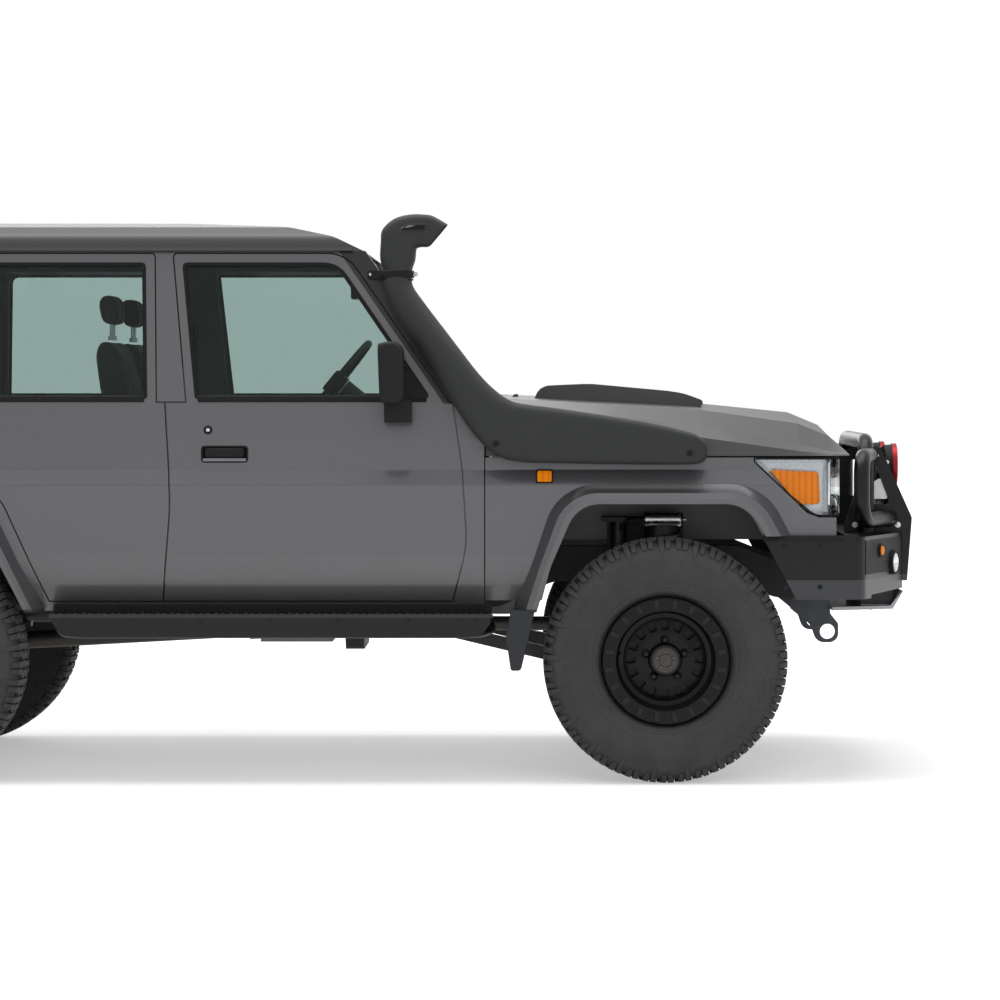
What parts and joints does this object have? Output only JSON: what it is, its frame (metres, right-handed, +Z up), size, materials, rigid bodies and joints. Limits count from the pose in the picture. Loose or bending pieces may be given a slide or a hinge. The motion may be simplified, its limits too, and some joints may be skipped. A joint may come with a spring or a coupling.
{
  "type": "off-road estate car",
  "caption": "Lifted off-road estate car with a bull bar, raised air intake, side steps and wide all-terrain tyres.",
  "frame": {"origin": "centre of the bounding box at ground level", "axes": "+X forward, +Y to the car's left, +Z up"},
  "size_m": [4.96, 2.124, 2.0373],
  "materials": {
    "body_paint": "metallic gloss",
    "roof_paint": "metallic gloss",
    "black_steel": "satin",
    "chassis_black": "satin",
    "rim_black": "gloss",
    "tyre": "matte",
    "glass": "tinted clear",
    "lamp": "clear",
    "black_plastic": "textured",
    "trim_grey": "grained",
    "cast": "rough",
    "alloy": "cast",
    "eye_steel": "satin",
    "cloth": "woven"
  },
  "bodies": {
    "car": {"chassis_rails": "chassis_black", "frame_brackets": "chassis_black", "gearbox_crossmember": "chassis_black", "body_floor": "black_plastic", "body_sides": "body_paint", "roof": "roof_paint", "bulkhead": "body_paint", "front_wings": "body_paint", "wheel_arch_flares": "body_paint", "front_panel": "black_plastic", "lamps": "lamp", "bull_bar": "black_steel", "left_tow_eye": "eye_steel", "right_tow_eye": "eye_steel", "side_steps": "black_steel", "snorkel": "black_plastic", "fixed_glass": "glass", "rear_bumper": "black_steel", "tow_tongue": "black_steel", "powertrain": "alloy", "propshafts": "cast", "front_axle": "chassis_black", "rear_axle": "chassis_black", "front_suspension": "chassis_black", "rear_suspension": "chassis_black", "fuel_tank": "chassis_black", "exhaust": "cast", "seat_frames": "black_plastic", "front_seats": "cloth", "rear_bench": "cloth", "dashboard": "trim_grey"},
    "left_front_door_body": {"left_front_door": "body_paint", "left_front_glass": "glass", "left_mirror": "black_plastic"},
    "left_rear_door_body": {"left_rear_door": "body_paint", "left_rear_glass": "glass"},
    "left_front_wheel": {"left_front_rim": "rim_black", "left_front_tyre": "tyre"},
    "left_rear_wheel": {"left_rear_rim": "rim_black", "left_rear_tyre": "tyre"},
    "left_steering": {"left_knuckle": "cast"},
    "right_front_door_body": {"right_front_door": "body_paint", "right_front_glass": "glass", "right_mirror": "black_plastic"},
    "right_rear_door_body": {"right_rear_door": "body_paint", "right_rear_glass": "glass"},
    "right_front_wheel": {"right_front_rim": "rim_black", "right_front_tyre": "tyre"},
    "right_rear_wheel": {"right_rear_rim": "rim_black", "right_rear_tyre": "tyre"},
    "right_steering": {"right_knuckle": "cast"},
    "left_back_door_body": {"left_back_door": "body_paint", "left_back_glass": "glass"},
    "right_back_door_body": {"right_back_door": "body_paint", "right_back_glass": "glass", "spare_rim": "rim_black", "spare_tyre": "tyre"},
    "bonnet_body": {"bonnet": "body_paint"},
    "tie_rod_body": {"tie_rod": "cast"},
    "steering_wheel_body": {"steering_wheel": "trim_grey"}
  },
  "joints": [
    {"name": "left_front_door_swing", "type": "hinge", "parent": "car", "child": "left_front_door_body", "pos_m": [0.847, 0.84, 1], "axis": [0, 0, -1], "range_deg": [0, 65]},
    {"name": "left_rear_door_swing", "type": "hinge", "parent": "car", "child": "left_rear_door_body", "pos_m": [-0.233, 0.84, 1], "axis": [0, 0, -1], "range_deg": [0, 65]},
    {"name": "left_back_door_swing", "type": "hinge", "parent": "car", "child": "left_back_door_body", "pos_m": [-2.171, 0.834, 1], "axis": [0, 0, -1], "range_deg": [0, 95]},
    {"name": "left_steer", "type": "hinge", "parent": "car", "child": "left_steering", "pos_m": [1.56, 0.66, 0.437], "axis": [0, 0, -1], "range_deg": [-30, 30]},
    {"name": "left_front_wheel_spin", "type": "hinge", "parent": "left_steering", "child": "left_front_wheel", "pos_m": [1.56, 0.78, 0.437], "axis": [0, 1, 0], "continuous": true},
    {"name": "left_rear_wheel_spin", "type": "hinge", "parent": "car", "child": "left_rear_wheel", "pos_m": [-1.17, 0.78, 0.437], "axis": [0, 1, 0], "continuous": true},
    {"name": "right_front_door_swing", "type": "hinge", "parent": "car", "child": "right_front_door_body", "pos_m": [0.847, -0.84, 1], "axis": [0, 0, 1], "range_deg": [0, 65]},
    {"name": "right_rear_door_swing", "type": "hinge", "parent": "car", "child": "right_rear_door_body", "pos_m": [-0.233, -0.84, 1], "axis": [0, 0, 1], "range_deg": [0, 65]},
    {"name": "right_back_door_swing", "type": "hinge", "parent": "car", "child": "right_back_door_body", "pos_m": [-2.171, -0.834, 1], "axis": [0, 0, 1], "range_deg": [0, 95]},
    {"name": "right_steer", "type": "hinge", "parent": "car", "child": "right_steering", "pos_m": [1.56, -0.66, 0.437], "axis": [0, 0, -1], "range_deg": [-30, 30]},
    {"name": "right_front_wheel_spin", "type": "hinge", "parent": "right_steering", "child": "right_front_wheel", "pos_m": [1.56, -0.78, 0.437], "axis": [0, 1, 0], "continuous": true},
    {"name": "right_rear_wheel_spin", "type": "hinge", "parent": "car", "child": "right_rear_wheel", "pos_m": [-1.17, -0.78, 0.437], "axis": [0, 1, 0], "continuous": true},
    {"name": "bonnet_lift", "type": "hinge", "parent": "car", "child": "bonnet_body", "pos_m": [0.93, 0, 1.33], "axis": [0, -1, 0], "range_deg": [0, 50]},
    {"name": "tie_rod_pivot", "type": "hinge", "parent": "right_steering", "child": "tie_rod_body", "pos_m": [1.41, -0.66, 0.437], "axis": [0, 0, -1], "range_deg": [-30, 30]},
    {"name": "steering_wheel_turn", "type": "hinge", "parent": "car", "child": "steering_wheel_body", "pos_m": [0.361, -0.36, 1.428], "axis": [0.7799, 0, -0.6259], "range_deg": [-480, 480]}
  ],
  "couplings": [
    {"joint": "left_steer", "follows": "right_steer", "ratio": 1},
    {"joint": "tie_rod_pivot", "follows": "right_steer", "ratio": -1},
    {"joint": "steering_wheel_turn", "follows": "right_steer", "ratio": 16}
  ]
}
